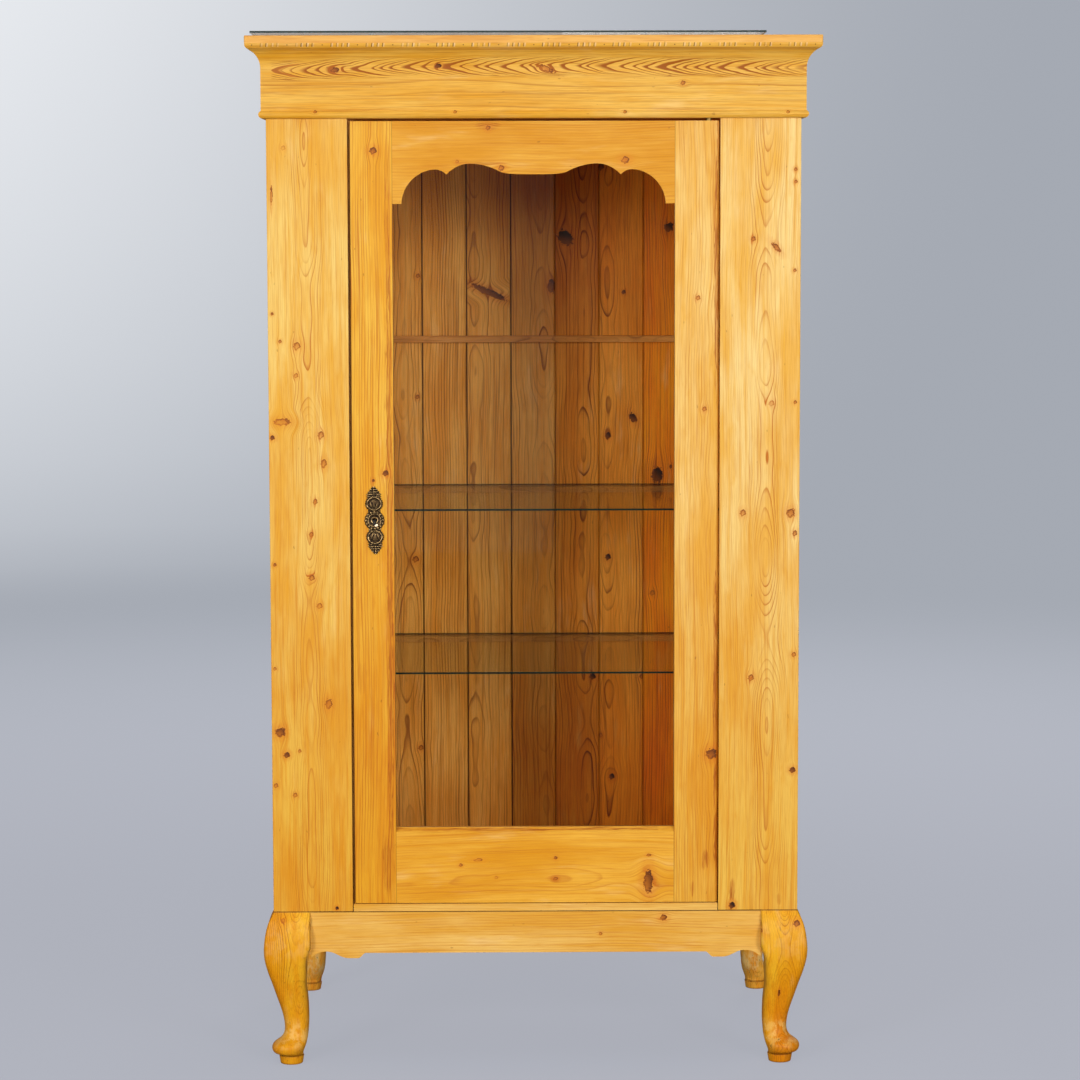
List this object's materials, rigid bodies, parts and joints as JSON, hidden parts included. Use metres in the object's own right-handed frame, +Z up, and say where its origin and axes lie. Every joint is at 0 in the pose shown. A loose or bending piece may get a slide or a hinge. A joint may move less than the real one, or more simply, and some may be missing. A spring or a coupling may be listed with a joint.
{
  "type": "glazed display cabinet",
  "caption": "Tall pine display cabinet with a glazed door, shaped top rail, glass shelves and cabriole legs.",
  "frame": {"origin": "on the floor, at the middle of the cabinet's overall width and depth", "axes": "+Z up; the front with the door faces -Y; +X is to the right as seen from the front"},
  "size_m": [0.988, 0.671, 1.809],
  "materials": {
    "waxed_pine": "stripped and waxed, satin",
    "inside_pine": "old, unlit inside boards",
    "clear_glass": "clear float glass with green edges",
    "clear_pads": "clear soft bumpers",
    "dark_brass": "cast, darkened with age",
    "plate_brass": "dull, turned and filed",
    "lock_steel": "dull, lightly rusted"
  },
  "bodies": {
    "cabinet": {"back_apron": "waxed_pine", "back_board_01": "inside_pine", "back_board_02": "inside_pine", "back_board_03": "inside_pine", "back_board_04": "inside_pine", "back_board_05": "inside_pine", "back_board_06": "inside_pine", "back_board_07": "inside_pine", "back_board_08": "inside_pine", "back_board_09": "inside_pine", "back_board_10": "inside_pine", "back_board_11": "inside_pine", "back_left_leg": "waxed_pine", "back_right_leg": "waxed_pine", "ceiling_board": "inside_pine", "cornice_front": "waxed_pine", "cornice_left": "waxed_pine", "cornice_right": "waxed_pine", "door_stop": "waxed_pine", "floor_board": "inside_pine", "front_apron": "waxed_pine", "front_left_leg": "waxed_pine", "front_right_leg": "waxed_pine", "front_top_rail": "waxed_pine", "glass_pads": "clear_pads", "keeper_plate": "plate_brass", "keeper_screws": "plate_brass", "left_apron": "waxed_pine", "left_pilaster": "waxed_pine", "left_shelf_battens": "inside_pine", "left_side": "waxed_pine", "lower_back_batten": "inside_pine", "lower_pivot_socket": "plate_brass", "right_apron": "waxed_pine", "right_pilaster": "waxed_pine", "right_shelf_battens": "inside_pine", "right_side": "waxed_pine", "roof_board": "waxed_pine", "sill_strip": "waxed_pine", "top_back_batten": "inside_pine", "upper_back_batten": "inside_pine", "upper_pivot_socket": "plate_brass"},
    "door": {"door_lock_stile": "waxed_pine", "door_pivot_stile": "waxed_pine", "door_top_rail": "waxed_pine", "door_bottom_rail": "waxed_pine", "door_glass": "clear_glass", "glazing_side_beads": "waxed_pine", "glazing_cross_beads": "waxed_pine", "upper_pivot_pin": "plate_brass", "lower_pivot_pin": "plate_brass", "lock_case": "lock_steel", "lock_cover": "lock_steel", "lock_screws": "lock_steel", "escutcheon": "dark_brass", "escutcheon_pins": "dark_brass"},
    "lock_bolt": {"lock_bolt": "lock_steel"},
    "upper_shelf": {"upper_glass_shelf": "clear_glass"},
    "lower_shelf": {"lower_glass_shelf": "clear_glass"},
    "loose_sheet": {"top_glass_sheet": "clear_glass"}
  },
  "joints": [
    {"name": "door_swing", "type": "hinge", "parent": "cabinet", "child": "door", "pos_m": [0.3015, -0.29085, 0.29], "axis": [0, 0, 1], "range_deg": [0, 110]},
    {"name": "bolt_throw", "type": "slide", "parent": "door", "child": "lock_bolt", "axis": [-1, 0, 0], "range_m": [0, 0.01]},
    {"name": "upper_shelf_lift", "type": "slide", "parent": "cabinet", "child": "upper_shelf", "axis": [0, 0, 1], "range_m": [0, 0.25]},
    {"name": "lower_shelf_lift", "type": "slide", "parent": "cabinet", "child": "lower_shelf", "axis": [0, 0, 1], "range_m": [0, 0.25]},
    {"name": "loose_sheet_lift", "type": "slide", "parent": "cabinet", "child": "loose_sheet", "axis": [0, 0, 1], "range_m": [0, 0.2]}
  ]
}
